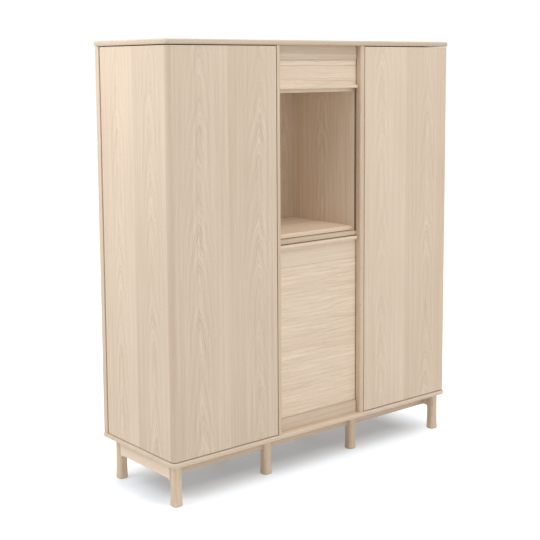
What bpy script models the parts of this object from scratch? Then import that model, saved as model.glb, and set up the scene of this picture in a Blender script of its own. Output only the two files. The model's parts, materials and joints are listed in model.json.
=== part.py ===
"""Highboard with two wrap-round corner doors and a centre column closed by two tambours.

Metres, +Z up. The front faces -Y, and the origin lies on the floor under the middle
of the top board.
"""
import math

import bmesh
import bpy

# Overall size, over the top board
WIDTH = 1.370
DEPTH = 0.460
HEIGHT = 1.600

# Boards and their joints
BOARD = 0.018
SHELF = 0.016
PANEL = 0.008
OVERHANG = 0.004
BACK_OVERHANG = 0.003
BOARD_CORNER = 0.020
NOSE = 0.007
DADO = 0.005
EDGE = 0.0015
TOUCH = 0.0003
CUT_OVER = 0.002

# Leg frame
LEG_HEIGHT = 0.147
LEG = 0.034
LEG_CORNER = 0.011
LEG_FLARE = 0.12
FLARE_HEIGHT = 0.075
FOOT_ROUND = 0.005
LEG_INSET_X = 0.033
LEG_INSET_FRONT = 0.035
LEG_INSET_BACK = 0.065
CENTRE_LEG_SETBACK = 0.040
RAIL = 0.022
RAIL_HEIGHT = 0.052
RAIL_FILLET = 0.018
FILLET_TIP = 0.002
RAIL_STEP = 0.002
CENTRE_LEG_SHIFT = 0.001

# Corner doors
DOOR = 0.020
DOOR_GAP = 0.003
DOOR_EDGE = 0.0012
DOOR_CORNER = 0.016
DOOR_INNER_CORNER = 0.005
POST_WIDTH = 0.022
POST_DEPTH = 0.023

# Door pivots and touch latches
PIN_RADIUS = 0.0035
PIN_DEPTH = 0.012
PIN_CLEAR = 0.0001
PIN_SHORT = 0.002
PIN_CHAMFER = 0.0008
COLLAR_RADIUS = 0.007
BUSH_RADIUS = 0.006
BUSH_LENGTH = 0.016
LATCH_WIDTH = 0.0224
LATCH_HEIGHT = 0.018
LATCH_LENGTH = 0.050
LATCH_FROM_DOOR = 0.008
LATCH_BELOW_TOP = 0.030
LATCH_EDGE = 0.001
PLUNGER_RADIUS = 0.003
PLUNGER_LENGTH = 0.036
PLUNGER_TRAVEL = 0.003
PLUNGER_EDGE = 0.0006
STRIKE = 0.0015
STRIKE_WIDTH = 0.014
STRIKE_HEIGHT = 0.020

# Centre column and its tambours
COLUMN = 0.394
DIVIDER_NOSE = 0.008
SETBACK = 0.026
SLAT = 0.009
SLAT_PITCH = 0.0165
SLAT_TUCK = 0.092
JOINT_WIDTH = 0.0016
JOINT_DEPTH = 0.003
BEND = 0.045
RUN_FROM_BOARD = 0.010
RETURN_FROM_BACK = 0.0375
TRACK_CLEAR = 0.0015
TRACK_DEPTH = 0.006
TRACK_TAIL = 0.030
END_PLAY = 0.0006
LEAD = 0.016
LEAD_HEIGHT = 0.084
LIP = 0.012
LIP_NOSE = 0.004
LIP_FILLET = 0.003
TONGUE_INSET = 0.0005
LEAD_BELOW_RAIL = 0.022
RAIL_COVE_CLEAR = 0.0012
TOP_RAIL_FRONT = 0.022
TOP_RAIL_HEIGHT = 0.051
PLINTH_FRONT = 0.020
PLINTH_HEIGHT = 0.049
COLUMN_RAIL = 0.016

# Niche and lower compartment
COLUMN_BOARD_SETBACK = 0.048
CEILING_BELOW_LEAD = 0.013
NICHE_HEIGHT = 0.515
STOP_SLOT = 0.002
STOP_HEIGHT = 0.015
STOP_THICK = 0.034
STOP_GAP = 0.003
FALSE_BACK = 0.048
SHELF_SETBACK = 0.013

# Side bays
BAY_SHELVES = 3
BAY_SHELF_SETBACK = 0.026
BAY_SHELF_END_GAP = 0.006
BACK_PANEL_INSET = 0.004

# Positions that follow from the sizes
HALF = WIDTH / 2 - OVERHANG
FRONT = -DEPTH / 2 + OVERHANG
BACK = DEPTH / 2 - BACK_OVERHANG
BASE_TOP = LEG_HEIGHT + BOARD
TOP_UNDER = HEIGHT - BOARD
DIVIDER_IN = COLUMN / 2
DIVIDER_OUT = DIVIDER_IN + BOARD
DOOR_LOW = BASE_TOP + DOOR_GAP
DOOR_HIGH = TOP_UNDER - DOOR_GAP
DOOR_FREE = DIVIDER_OUT + DOOR_GAP
DOOR_INNER_Y = FRONT + DOOR
PIVOT_X = HALF - DOOR / 2
PIVOT_Y = BACK - POST_DEPTH - DOOR_GAP - DOOR / 2
PANEL_BACK = BACK - BACK_PANEL_INSET
PANEL_FRONT = PANEL_BACK - PANEL
CURTAIN_FRONT = FRONT + SETBACK
TRACK_Y = CURTAIN_FRONT + SLAT / 2
RETURN_Y = BACK - RETURN_FROM_BACK
TRACK_WIDTH = SLAT + 2 * TRACK_CLEAR
TOP_BEND = TOP_UNDER - RUN_FROM_BOARD - BEND
LOW_BEND = BASE_TOP + RUN_FROM_BOARD + BEND
CURTAIN_HALF = DIVIDER_IN + TRACK_DEPTH - END_PLAY
LEAD_HALF = DIVIDER_IN - END_PLAY
COLUMN_FRONT = FRONT + COLUMN_BOARD_SETBACK
FALSE_BACK_REAR = BACK - FALSE_BACK
FALSE_BACK_FRONT = FALSE_BACK_REAR - PANEL
TOP_RAIL_BOTTOM = TOP_UNDER - TOP_RAIL_HEIGHT
PLINTH_TOP = BASE_TOP + PLINTH_HEIGHT
UPPER_LEAD_BOTTOM = TOP_RAIL_BOTTOM - LEAD_BELOW_RAIL - LEAD_HEIGHT
NICHE_CEILING = UPPER_LEAD_BOTTOM - CEILING_BELOW_LEAD
NICHE_FLOOR = NICHE_CEILING - NICHE_HEIGHT
STOP_TOP = NICHE_FLOOR - SHELF - STOP_SLOT
STOP_BOTTOM = STOP_TOP - STOP_HEIGHT
LOWER_LEAD_TOP = STOP_BOTTOM - STOP_GAP
LOWER_FLOOR_TOP = PLINTH_TOP
UPPER_SLATS = round((UPPER_LEAD_BOTTOM - STOP_TOP + SLAT_TUCK) / SLAT_PITCH)
LOWER_SLATS = round((LOWER_LEAD_TOP - LEAD_HEIGHT - LOW_BEND + SLAT_TUCK) / SLAT_PITCH)
LEG_X = HALF - LEG_INSET_X
LEG_FRONT = FRONT + LEG_INSET_FRONT
LEG_BACK = BACK - LEG_INSET_BACK
CENTRE_LEG_X = DIVIDER_OUT + CENTRE_LEG_SHIFT
CENTRE_FRONT = LEG_FRONT + CENTRE_LEG_SETBACK
CENTRE_BACK = LEG_BACK - CENTRE_LEG_SETBACK
RAIL_LOW = LEG_HEIGHT - RAIL_HEIGHT
APRON_OUT = LEG_X + LEG / 2 - RAIL_STEP
APRON_IN = APRON_OUT - RAIL
LATCH_X = DIVIDER_OUT + TOUCH + LATCH_WIDTH / 2
LATCH_Z = TOP_UNDER - LATCH_BELOW_TOP
LATCH_FRONT = DOOR_INNER_Y + LATCH_FROM_DOOR
PLUNGER_TIP = DOOR_INNER_Y + STRIKE + 2 * TOUCH

for old in list(bpy.data.objects):
    bpy.data.objects.remove(old, do_unlink=True)

PARTS = bpy.data.collections.new("highboard")
CUTTERS = bpy.data.collections.new("cutters")
bpy.context.scene.collection.children.link(PARTS)
bpy.context.scene.collection.children.link(CUTTERS)


def make_material(name, colour, roughness, metallic=0.0):
    """A Principled material for one kind of surface."""
    mat = bpy.data.materials.new(name)
    mat.use_nodes = True
    shader = mat.node_tree.nodes["Principled BSDF"]
    shader.inputs["Base Color"].default_value = (*colour, 1.0)
    shader.inputs["Roughness"].default_value = roughness
    shader.inputs["Metallic"].default_value = metallic
    return mat


OAK = make_material("oak_veneer", (0.66, 0.54, 0.40), 0.55)
SOLID = make_material("oak_solid", (0.60, 0.47, 0.33), 0.55)
TAMBOUR = make_material("oak_tambour", (0.70, 0.58, 0.44), 0.55)
INSIDE = make_material("oak_inside", (0.62, 0.50, 0.36), 0.60)
STEEL = make_material("steel", (0.60, 0.60, 0.60), 0.35, 1.0)
BRASS = make_material("brass", (0.70, 0.52, 0.25), 0.35, 1.0)
PLASTIC = make_material("grey_plastic", (0.35, 0.35, 0.35), 0.50)


def add_object(name, mesh, mat):
    """Link a part, or a cutter when it has no material."""
    obj = bpy.data.objects.new(name, mesh)
    if mat is None:
        CUTTERS.objects.link(obj)
        obj.hide_render = True
        obj.display_type = "WIRE"
    else:
        PARTS.objects.link(obj)
        mesh.materials.append(mat)
    return obj


def round_edges(obj, width, segments=2, angle=40.0):
    """Round the sharp edges of a part with a Bevel modifier."""
    mod = obj.modifiers.new("rounded", "BEVEL")
    mod.width = width
    mod.segments = segments
    mod.limit_method = "ANGLE"
    mod.angle_limit = math.radians(angle)
    return obj


def boolean(obj, other, operation):
    """Cut or join with the exact solver."""
    mod = obj.modifiers.new(operation.lower(), "BOOLEAN")
    mod.operation = operation
    mod.solver = "EXACT"
    mod.object = other


def box(name, low, high, mat, edge=0.0):
    """An upright box between two corners."""
    mesh = bpy.data.meshes.new(name)
    bm = bmesh.new()
    bmesh.ops.create_cube(bm, size=1.0)
    size = [b - a for a, b in zip(low, high)]
    bmesh.ops.scale(bm, vec=size, verts=bm.verts)
    bm.to_mesh(mesh)
    bm.free()
    obj = add_object(name, mesh, mat)
    obj.location = [(a + b) / 2 for a, b in zip(low, high)]
    if edge:
        round_edges(obj, edge)
    return obj


def side_box(name, sign, xs, ys, zs, mat, edge=0.0):
    """A box on one side: xs are distances from the middle, sign picks the side."""
    ends = sorted((sign * xs[0], sign * xs[1]))
    return box(name, (ends[0], ys[0], zs[0]), (ends[1], ys[1], zs[1]), mat, edge)


def cylinder(name, centre, radius, length, mat, along_y=False):
    """A cylinder along Z, or along Y."""
    mesh = bpy.data.meshes.new(name)
    bm = bmesh.new()
    bmesh.ops.create_cone(bm, cap_ends=True, segments=32, radius1=radius, radius2=radius, depth=length)
    bm.to_mesh(mesh)
    bm.free()
    obj = add_object(name, mesh, mat)
    obj.location = centre
    if along_y:
        obj.rotation_euler = (math.pi / 2, 0.0, 0.0)
    return obj


def prism(name, outline, low, high, mat, along="Z", origin=(0.0, 0.0)):
    """A flat outline made solid: (x, y) points along Z, or (y, z) points along X."""
    curve = bpy.data.curves.new(name + "_outline", "CURVE")
    curve.dimensions = "2D"
    curve.fill_mode = "BOTH"
    curve.extrude = (high - low) / 2
    spline = curve.splines.new("POLY")
    spline.points.add(len(outline) - 1)
    for point, (a, b) in zip(spline.points, outline):
        point.co = (a - origin[0], b - origin[1], 0.0, 1.0)
    spline.use_cyclic_u = True
    drawn = bpy.data.objects.new(name + "_outline", curve)
    CUTTERS.objects.link(drawn)
    middle = (low + high) / 2
    if along == "X":
        drawn.location = (middle, origin[0], origin[1])
        drawn.rotation_euler = (math.pi / 2, 0.0, math.pi / 2)
    else:
        drawn.location = (origin[0], origin[1], middle)
    graph = bpy.context.evaluated_depsgraph_get()
    mesh = bpy.data.meshes.new_from_object(drawn.evaluated_get(graph))
    bm = bmesh.new()
    bm.from_mesh(mesh)
    bmesh.ops.remove_doubles(bm, verts=bm.verts, dist=0.000005)
    bmesh.ops.dissolve_limit(bm, angle_limit=0.0005, verts=bm.verts, edges=bm.edges)
    bmesh.ops.recalc_face_normals(bm, faces=bm.faces)
    bm.to_mesh(mesh)
    bm.free()
    mesh.materials.clear()
    obj = add_object(name, mesh, mat)
    obj.matrix_world = drawn.matrix_world.copy()
    bpy.data.objects.remove(drawn, do_unlink=True)
    return obj


def arc(centre, radius, start, end, steps):
    """Points on an arc; the angles are in degrees."""
    points = []
    for i in range(steps + 1):
        angle = math.radians(start + (end - start) * i / steps)
        points.append((centre[0] + radius * math.cos(angle), centre[1] + radius * math.sin(angle)))
    return points


def board_outline():
    """Plan of the top and bottom boards, round at the front corners."""
    x, y, r = WIDTH / 2, DEPTH / 2, BOARD_CORNER
    points = arc((x - r, -y + r), r, -90, 0, 8)
    points += arc((x - r / 3, y - r / 3), r / 3, 0, 90, 4)
    points += arc((-x + r / 3, y - r / 3), r / 3, 90, 180, 4)
    points += arc((-x + r, -y + r), r, 180, 270, 8)
    return points


def turned(name, x, y, profile, mat):
    """A turned piece from (radius, z) points, listed from top to bottom."""
    mesh = bpy.data.meshes.new(name)
    bm = bmesh.new()
    verts = [bm.verts.new((r, 0.0, z)) for r, z in profile]
    for a, b in zip(verts, verts[1:]):
        bm.edges.new((a, b))
    bm.to_mesh(mesh)
    bm.free()
    obj = add_object(name, mesh, mat)
    obj.location = (x, y, 0.0)
    mod = obj.modifiers.new("turned", "SCREW")
    mod.axis = "Z"
    mod.angle = 2 * math.pi
    mod.steps = 32
    mod.render_steps = 32
    mod.use_merge_vertices = True
    mod.merge_threshold = 0.00001
    return obj


# Top and bottom boards
top_board = prism("top_board", board_outline(), TOP_UNDER, HEIGHT, OAK)
bottom_board = prism("bottom_board", board_outline(), LEG_HEIGHT, BASE_TOP, OAK)
for board in (top_board, bottom_board):
    round_edges(board, NOSE, 4)


def track_point(start_z, bend_z, way, distance):
    """Point and outward normal on a tambour's track, by distance from its lead board."""
    straight = abs(bend_z - start_z)
    quarter = BEND * math.pi / 2
    run = RETURN_Y - TRACK_Y - 2 * BEND
    if distance <= straight:
        return (TRACK_Y, start_z + way * distance), (-1.0, 0.0)
    distance -= straight
    if distance <= quarter:
        turn = distance / BEND
        normal = (-math.cos(turn), way * math.sin(turn))
        return (TRACK_Y + BEND + BEND * normal[0], bend_z + BEND * normal[1]), normal
    distance -= quarter
    if distance <= run:
        return (TRACK_Y + BEND + distance, bend_z + way * BEND), (0.0, float(way))
    distance -= run
    if distance <= quarter:
        turn = distance / BEND
        normal = (math.sin(turn), way * math.cos(turn))
        return (RETURN_Y - BEND + BEND * normal[0], bend_z + BEND * normal[1]), normal
    distance -= quarter
    return (RETURN_Y, bend_z - way * distance), (1.0, 0.0)


def offset(place, amount):
    """A track point moved along its normal."""
    (y, z), (ny, nz) = place
    return (y + ny * amount, z + nz * amount)


def curtain_outline(start_z, bend_z, way, slats):
    """Side view of a curtain of slats laid along its track."""
    outer = []
    inner = []
    for i in range(slats + 1):
        place = track_point(start_z, bend_z, way, i * SLAT_PITCH)
        inner.append(offset(place, -SLAT / 2))
        if i in (0, slats):
            outer.append(offset(place, SLAT / 2))
            continue
        before = track_point(start_z, bend_z, way, i * SLAT_PITCH - JOINT_WIDTH / 2)
        after = track_point(start_z, bend_z, way, i * SLAT_PITCH + JOINT_WIDTH / 2)
        outer.append(offset(before, SLAT / 2))
        outer.append(offset(place, SLAT / 2 - JOINT_DEPTH))
        outer.append(offset(after, SLAT / 2))
    return outer + inner[::-1]


def track_outline():
    """The groove that both tambours share, from its upper tail to its lower tail."""
    quarter = BEND * math.pi / 2
    run = RETURN_Y - TRACK_Y - 2 * BEND
    middle = (TOP_BEND + LOW_BEND) / 2
    straight = TOP_BEND - middle
    places = []
    for bend_z, way, slats in ((TOP_BEND, 1, UPPER_SLATS), (LOW_BEND, -1, LOWER_SLATS)):
        tail = max(0.0, slats * SLAT_PITCH - 2 * quarter - run) + TRACK_TAIL
        stops = [0.0]
        stops += [straight + quarter * i / 10 for i in range(11)]
        stops += [straight + quarter + run + quarter * i / 10 for i in range(11)]
        stops.append(straight + 2 * quarter + run + tail)
        side = [track_point(middle, bend_z, way, stop) for stop in stops]
        places.append(side)
    path = places[0][::-1] + places[1][1:]
    outer = [offset(place, TRACK_WIDTH / 2) for place in path]
    inner = [offset(place, -TRACK_WIDTH / 2) for place in path]
    return outer + inner[::-1]


# Boards across the column: name, underside, front, back
LOWER_SHELF_LOW = (LOWER_FLOOR_TOP + NICHE_FLOOR - SHELF) / 2 - SHELF / 2
COLUMN_BOARDS = (
    ("niche_ceiling", NICHE_CEILING, COLUMN_FRONT, FALSE_BACK_REAR),
    ("niche_floor", NICHE_FLOOR - SHELF, COLUMN_FRONT, FALSE_BACK_REAR),
    ("lower_compartment_shelf", LOWER_SHELF_LOW, COLUMN_FRONT + SHELF_SETBACK, FALSE_BACK_FRONT - TOUCH),
    ("lower_compartment_floor", LOWER_FLOOR_TOP - SHELF, COLUMN_FRONT, FALSE_BACK_FRONT - TOUCH),
)


def nosed_board(name, left, right, front, back, low):
    """A shelf board with a softened front edge."""
    e = EDGE
    outline = [(back, low), (back, low + SHELF)]
    outline += arc((front + e, low + SHELF - e), e, 90, 180, 3)
    outline += arc((front + e, low + e), e, 180, 270, 3)
    prism(name, outline, left, right, INSIDE, "X")


for name, low, front, back in COLUMN_BOARDS:
    reach = DIVIDER_IN + DADO - TOUCH
    nosed_board(name, -reach, reach, front, back, low)

box("niche_back_panel", (-DIVIDER_IN + TOUCH, FALSE_BACK_FRONT, NICHE_FLOOR + TOUCH),
    (DIVIDER_IN - TOUCH, FALSE_BACK_REAR, NICHE_CEILING - TOUCH), INSIDE)
box("lower_back_panel", (-DIVIDER_IN + TOUCH, FALSE_BACK_FRONT, LOWER_FLOOR_TOP - SHELF / 2),
    (DIVIDER_IN - TOUCH, FALSE_BACK_REAR, NICHE_FLOOR - SHELF - TOUCH), INSIDE)
box("centre_back_panel", (-DIVIDER_IN + TOUCH, PANEL_FRONT, BASE_TOP + TOUCH),
    (DIVIDER_IN - TOUCH, PANEL_BACK, TOP_UNDER - TOUCH), INSIDE)

# Shelf heights in the side bays
BAY_SPACE = (TOP_UNDER - BASE_TOP - BAY_SHELVES * SHELF) / (BAY_SHELVES + 1)
BAY_LOWS = [BASE_TOP + BAY_SPACE * (i + 1) + SHELF * i for i in range(BAY_SHELVES)]


def divider(side, sign):
    """Upright beside the column, grooved for the tambours and housed for the boards."""
    r = DIVIDER_NOSE
    plan = arc((DIVIDER_OUT - EDGE, FRONT + EDGE), EDGE, -90, 0, 3)
    plan += [(DIVIDER_OUT, BACK), (DIVIDER_IN, BACK)]
    plan += arc((DIVIDER_IN + r, FRONT + r), r, 180, 270, 6)
    plan = [(sign * x, y) for x, y in plan]
    obj = prism(side + "_divider", plan, BASE_TOP + TOUCH, TOP_UNDER - TOUCH, OAK)
    ends = sorted((sign * (DIVIDER_IN - CUT_OVER), sign * (DIVIDER_IN + TRACK_DEPTH)))
    boolean(obj, prism(side + "_track", track_outline(), ends[0], ends[1], None, "X"), "DIFFERENCE")
    for name, low, front, back in COLUMN_BOARDS:
        housing = side_box(side + "_" + name + "_housing", sign, (DIVIDER_IN - CUT_OVER, DIVIDER_IN + DADO),
                           (front - TOUCH, back + TOUCH), (low - TOUCH, low + SHELF + TOUCH), None)
        boolean(obj, housing, "DIFFERENCE")
    for i, low in enumerate(BAY_LOWS):
        housing = side_box(f"{side}_bay_housing_{i + 1}", sign, (DIVIDER_OUT - DADO, DIVIDER_OUT + CUT_OVER),
                           (FRONT + BAY_SHELF_SETBACK - TOUCH, PANEL_FRONT),
                           (low - TOUCH, low + SHELF + TOUCH), None)
        boolean(obj, housing, "DIFFERENCE")


def side_bay(side, sign):
    """Back panel, back post and shelves behind one corner door."""
    side_box(side + "_back_panel", sign, (DIVIDER_OUT + TOUCH, HALF - POST_WIDTH - TOUCH),
             (PANEL_FRONT, PANEL_BACK), (BASE_TOP + TOUCH, TOP_UNDER - TOUCH), INSIDE)
    side_box(side + "_back_post", sign, (HALF - POST_WIDTH, HALF), (BACK - POST_DEPTH, BACK),
             (BASE_TOP + TOUCH, TOP_UNDER - TOUCH), OAK, EDGE)
    ends = sorted((sign * (DIVIDER_OUT - DADO + TOUCH), sign * (HALF - DOOR - BAY_SHELF_END_GAP)))
    for i, low in enumerate(BAY_LOWS):
        nosed_board(f"{side}_bay_shelf_{i + 1}", ends[0], ends[1], FRONT + BAY_SHELF_SETBACK,
                    PANEL_FRONT - TOUCH, low)


def corner_door(side, sign):
    """Front leaf and side leaf in one piece, turning on the round rear edge."""
    r = DOOR_CORNER
    q = DOOR_INNER_CORNER
    inner_x = HALF - DOOR
    plan = [(DOOR_FREE, FRONT)]
    plan += arc((HALF - r, FRONT + r), r, -90, 0, 10)
    plan += arc((PIVOT_X, PIVOT_Y), DOOR / 2, 0, 180, 14)
    plan += arc((inner_x - q, DOOR_INNER_Y + q), q, 0, -90, 4)
    plan.append((DOOR_FREE, DOOR_INNER_Y))
    plan = [(sign * x, y) for x, y in plan]
    door = prism(side + "_corner_door", plan, DOOR_LOW, DOOR_HIGH, OAK, origin=(sign * PIVOT_X, PIVOT_Y))
    round_edges(door, DOOR_EDGE, 2, 50.0)
    for level, end, way, board in (("lower", DOOR_LOW, 1, bottom_board), ("upper", DOOR_HIGH, -1, top_board)):
        pivot(side + "_" + level, sign * PIVOT_X, end, way, door, board)
    side_box(side + "_strike_plate", sign, (LATCH_X - STRIKE_WIDTH / 2, LATCH_X + STRIKE_WIDTH / 2),
             (DOOR_INNER_Y + TOUCH, DOOR_INNER_Y + TOUCH + STRIKE),
             (LATCH_Z - STRIKE_HEIGHT / 2, LATCH_Z + STRIKE_HEIGHT / 2), STEEL)


def pivot(name, x, end, way, door, board):
    """Pin with a collar in the board, and the bush in the door that turns on it."""
    face = end - way * DOOR_GAP
    tip = end + way * (BUSH_LENGTH - PIN_SHORT)
    root = face - way * PIN_DEPTH
    chamfer = PIN_CHAMFER
    profile = [(0.0, tip), (PIN_RADIUS - chamfer, tip), (PIN_RADIUS, tip - way * chamfer),
               (PIN_RADIUS, end - way * TOUCH), (COLLAR_RADIUS, end - way * TOUCH),
               (COLLAR_RADIUS, face + way * TOUCH), (PIN_RADIUS, face + way * TOUCH),
               (PIN_RADIUS, root), (0.0, root)]
    if way < 0:
        profile = profile[::-1]
    turned(name + "_pivot", x, PIVOT_Y, profile, STEEL)
    bush = cylinder(name + "_bush", (x, PIVOT_Y, end + way * (BUSH_LENGTH / 2 + TOUCH)), BUSH_RADIUS,
                    BUSH_LENGTH - 2 * TOUCH, BRASS)
    bore = cylinder(name + "_bush_bore", (x, PIVOT_Y, end + way * BUSH_LENGTH / 2), PIN_RADIUS + PIN_CLEAR,
                    BUSH_LENGTH * 2, None)
    boolean(bush, bore, "DIFFERENCE")
    seat = cylinder(name + "_bush_seat", (x, PIVOT_Y, end + way * (BUSH_LENGTH / 2 - CUT_OVER / 2)),
                    BUSH_RADIUS + TOUCH, BUSH_LENGTH + CUT_OVER + 2 * TOUCH, None)
    boolean(door, seat, "DIFFERENCE")
    hole = cylinder(name + "_pin_hole", (x, PIVOT_Y, face - way * (PIN_DEPTH / 2 - CUT_OVER / 2)),
                    PIN_RADIUS + TOUCH, PIN_DEPTH + CUT_OVER + 2 * TOUCH, None)
    boolean(board, hole, "DIFFERENCE")


def touch_latch(side, sign):
    """Latch on the divider whose plunger pushes the handleless door open."""
    body = side_box(side + "_latch_body", sign, (LATCH_X - LATCH_WIDTH / 2, LATCH_X + LATCH_WIDTH / 2),
                    (LATCH_FRONT, LATCH_FRONT + LATCH_LENGTH),
                    (LATCH_Z - LATCH_HEIGHT / 2, LATCH_Z + LATCH_HEIGHT / 2), PLASTIC, LATCH_EDGE)
    deep = PLUNGER_TIP + PLUNGER_LENGTH + PLUNGER_TRAVEL + TOUCH
    bore = cylinder(side + "_latch_bore", (sign * LATCH_X, (LATCH_FRONT - CUT_OVER + deep) / 2, LATCH_Z),
                    PLUNGER_RADIUS + TOUCH, deep - LATCH_FRONT + CUT_OVER, None, True)
    boolean(body, bore, "DIFFERENCE")
    plunger = cylinder(side + "_latch_plunger", (sign * LATCH_X, PLUNGER_TIP + PLUNGER_LENGTH / 2, LATCH_Z),
                       PLUNGER_RADIUS, PLUNGER_LENGTH, STEEL, True)
    round_edges(plunger, PLUNGER_EDGE)


for side, sign in (("left", -1), ("right", 1)):
    divider(side, sign)
    side_bay(side, sign)
    corner_door(side, sign)
    touch_latch(side, sign)


def cove_rail(name, front, edge_z, board_z, bend_z):
    """Rail across the column with its back hollowed round the tambour's bend."""
    way = math.copysign(1.0, board_z - bend_z)
    radius = BEND + SLAT / 2 + RAIL_COVE_CLEAR
    centre = (TRACK_Y + BEND, bend_z)
    back = front + COLUMN_RAIL
    rise = max(0.0, way * (edge_z - bend_z))
    first = math.degrees(math.asin(rise / radius))
    last = math.degrees(math.acos((centre[0] - back) / radius))
    outline = [(front, board_z)]
    outline += arc((front + EDGE, edge_z + way * EDGE), EDGE, 180, 180 + way * 90, 3)
    if not rise:
        outline.append((centre[0] - radius, edge_z))
    outline += arc(centre, radius, 180 - way * first, 180 - way * last, 8)
    outline.append((back, board_z))
    prism(name, outline, -DIVIDER_IN + TOUCH, DIVIDER_IN - TOUCH, SOLID, "X")


cove_rail("column_top_rail", FRONT + TOP_RAIL_FRONT, TOP_RAIL_BOTTOM, TOP_UNDER - TOUCH, TOP_BEND)
cove_rail("column_plinth_rail", FRONT + PLINTH_FRONT, PLINTH_TOP, BASE_TOP + TOUCH, LOW_BEND)


def tongued(name, obj, low, high):
    """Join the end tongues that run in the grooves of the dividers."""
    tongue = box(name + "_tongue", (-CURTAIN_HALF, CURTAIN_FRONT + TONGUE_INSET, low + TONGUE_INSET),
                 (CURTAIN_HALF, CURTAIN_FRONT + SLAT, high - TONGUE_INSET), None)
    boolean(obj, tongue, "UNION")


def lead_board(name, edge, way):
    """Board at the free edge of a tambour; its lip is at edge and the slats start beyond it."""
    far = edge + way * LEAD_HEIGHT
    lip = edge + way * LIP
    nose = CURTAIN_FRONT - LIP + LIP_NOSE
    turn = 1 if way > 0 else -1
    outline = [(CURTAIN_FRONT + LEAD, edge), (CURTAIN_FRONT + LEAD, far)]
    outline += arc((CURTAIN_FRONT + EDGE, far - way * EDGE), EDGE, 90 * turn, 180 * turn, 3)
    outline += arc((CURTAIN_FRONT - LIP_FILLET, lip + way * LIP_FILLET), LIP_FILLET, 0, -90 * turn, 4)
    outline += arc((nose, lip - way * LIP_NOSE), LIP_NOSE, 90 * turn, 180 * turn, 5)
    outline += arc((nose, edge + way * LIP_NOSE), LIP_NOSE, 180 * turn, 270 * turn, 5)
    obj = prism(name, outline, -LEAD_HALF, LEAD_HALF, TAMBOUR, "X")
    low, high = sorted((edge, far))
    tongued(name, obj, low, high)
    return far


upper_start = lead_board("upper_tambour_lead", UPPER_LEAD_BOTTOM, 1) + TOUCH
lower_start = lead_board("lower_tambour_lead", LOWER_LEAD_TOP, -1) - TOUCH
prism("upper_tambour_curtain", curtain_outline(upper_start, TOP_BEND, 1, UPPER_SLATS), -CURTAIN_HALF, CURTAIN_HALF,
      TAMBOUR, "X")
prism("lower_tambour_curtain", curtain_outline(lower_start, LOW_BEND, -1, LOWER_SLATS), -CURTAIN_HALF, CURTAIN_HALF,
      TAMBOUR, "X")

stop_rail = box("tambour_stop_rail", (-DIVIDER_IN + TOUCH, CURTAIN_FRONT, STOP_BOTTOM),
                (DIVIDER_IN - TOUCH, CURTAIN_FRONT + STOP_THICK, STOP_TOP), SOLID, EDGE)
tongued("tambour_stop_rail", stop_rail, STOP_BOTTOM, STOP_TOP)


def leg(name, x, y, half_lap=0):
    """Rounded square leg that widens to its foot; half_lap is the side of a long rail."""
    height = LEG_HEIGHT - TOUCH
    mesh = bpy.data.meshes.new(name)
    bm = bmesh.new()
    bmesh.ops.create_cube(bm, size=1.0)
    bmesh.ops.scale(bm, vec=(LEG, LEG, height), verts=bm.verts)
    bmesh.ops.translate(bm, vec=(0.0, 0.0, height / 2), verts=bm.verts)
    for share in (0.25, 0.5, 0.75, 1.0):
        whole = bm.verts[:] + bm.edges[:] + bm.faces[:]
        bmesh.ops.bisect_plane(bm, geom=whole, plane_co=(0.0, 0.0, FLARE_HEIGHT * share), plane_no=(0.0, 0.0, 1.0))
    upright = [e for e in bm.edges if abs(e.verts[0].co.z - e.verts[1].co.z) > 0.001]
    bmesh.ops.bevel(bm, geom=upright, offset=LEG_CORNER, segments=4, profile=0.5, affect="EDGES")
    for vert in bm.verts:
        lift = max(0.0, 1.0 - vert.co.z / FLARE_HEIGHT)
        vert.co.x *= 1.0 + LEG_FLARE * lift ** 2
        vert.co.y *= 1.0 + LEG_FLARE * lift ** 2
    rim = [e for e in bm.edges if max(v.co.z for v in e.verts) < 0.0001]
    bmesh.ops.bevel(bm, geom=rim, offset=FOOT_ROUND, segments=3, profile=0.5, affect="EDGES")
    bmesh.ops.recalc_face_normals(bm, faces=bm.faces)
    bm.to_mesh(mesh)
    bm.free()
    obj = add_object(name, mesh, SOLID)
    obj.location = (x, y, 0.0)
    if half_lap:
        ends = sorted((y - half_lap * TOUCH, y + half_lap * LEG))
        lap = box(name + "_lap", (x - LEG, ends[0], RAIL_LOW - TOUCH), (x + LEG, ends[1], LEG_HEIGHT + 0.01), None)
        boolean(obj, lap, "DIFFERENCE")


def side_apron(side, sign):
    """Rail between the corner legs of one side, filleted into both."""
    near = LEG_FRONT + LEG / 2 + TOUCH
    far = LEG_BACK - LEG / 2 - TOUCH
    r = RAIL_FILLET
    tip = math.degrees(math.acos((r - FILLET_TIP) / r))
    outline = [(near, LEG_HEIGHT - TOUCH), (far, LEG_HEIGHT - TOUCH)]
    outline += arc((far + FILLET_TIP - r, RAIL_LOW - r), r, tip, 90, 7)
    outline += arc((near - FILLET_TIP + r, RAIL_LOW - r), r, 90, 180 - tip, 7)
    ends = sorted((sign * APRON_IN, sign * APRON_OUT))
    prism(side + "_side_apron", outline, ends[0], ends[1], SOLID, "X")


for side, sign in (("left", -1), ("right", 1)):
    leg("front_" + side + "_leg", sign * LEG_X, LEG_FRONT)
    leg("back_" + side + "_leg", sign * LEG_X, LEG_BACK)
    leg("front_centre_" + side + "_leg", sign * CENTRE_LEG_X, CENTRE_FRONT, 1)
    leg("back_centre_" + side + "_leg", sign * CENTRE_LEG_X, CENTRE_BACK, -1)
    side_apron(side, sign)

for name, ends in (("front_long_rail", (CENTRE_FRONT, CENTRE_FRONT + RAIL)),
                   ("back_long_rail", (CENTRE_BACK - RAIL, CENTRE_BACK))):
    box(name, (-APRON_IN + TOUCH, ends[0], RAIL_LOW), (APRON_IN - TOUCH, ends[1], LEG_HEIGHT - TOUCH), SOLID, EDGE)
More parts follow.
